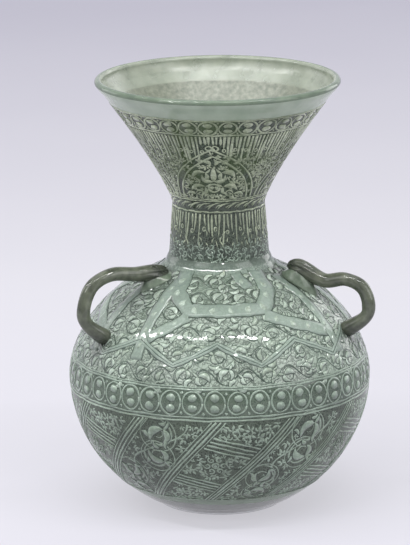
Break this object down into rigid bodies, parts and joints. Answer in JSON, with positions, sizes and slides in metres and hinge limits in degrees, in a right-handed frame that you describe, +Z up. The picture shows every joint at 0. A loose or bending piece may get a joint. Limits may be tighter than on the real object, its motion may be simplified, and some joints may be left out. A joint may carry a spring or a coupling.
{
  "type": "mosque lamp",
  "caption": "Blown green glass hanging lamp: round globe, waisted neck, flaring mouth, three trailed handles, with a lift-out oil cup, cork float and wick.",
  "frame": {"origin": "centre of the flat underside of the foot pad, on the lamp's axis", "axes": "+Z up along the lamp's axis, -Y towards the front between the two front handles, +Y towards the back handle"},
  "size_m": [0.211, 0.2194, 0.3021],
  "materials": {
    "painted_glass": "pale green blown glass, painted all over with fine dark green ornament",
    "clear_glass": "plain pale green glass, fire polished",
    "trail_glass": "dense olive green trailed glass, glossy",
    "cup_glass": "thin clear blown glass",
    "cork": "cut cork, matt",
    "brass": "drawn tube, dull",
    "cotton": "plaited cotton, charred at its top"
  },
  "bodies": {
    "lamp": {"foot_pad": "clear_glass", "globe_bowl": "painted_glass", "globe_shoulder": "painted_glass", "neck_collar": "painted_glass", "neck_thread": "clear_glass", "mouth_funnel": "painted_glass", "rim_thread": "clear_glass", "handle_left": "trail_glass", "handle_right": "trail_glass", "handle_back": "trail_glass", "seat_left": "trail_glass", "seat_right": "trail_glass", "seat_back": "trail_glass"},
    "cup": {"oil_cup": "cup_glass"},
    "float": {"wick_float": "cork", "wick_tube": "brass"},
    "wick": {"wick": "cotton"}
  },
  "joints": [
    {"name": "cup_lift", "type": "slide", "parent": "lamp", "child": "cup", "axis": [0, 0, 1], "range_m": [0, 0.3]},
    {"name": "float_rise", "type": "slide", "parent": "cup", "child": "float", "axis": [0, 0, 1], "range_m": [0, 0.038]},
    {"name": "wick_draw", "type": "slide", "parent": "float", "child": "wick", "axis": [0, 0, 1], "range_m": [0, 0.012]}
  ]
}
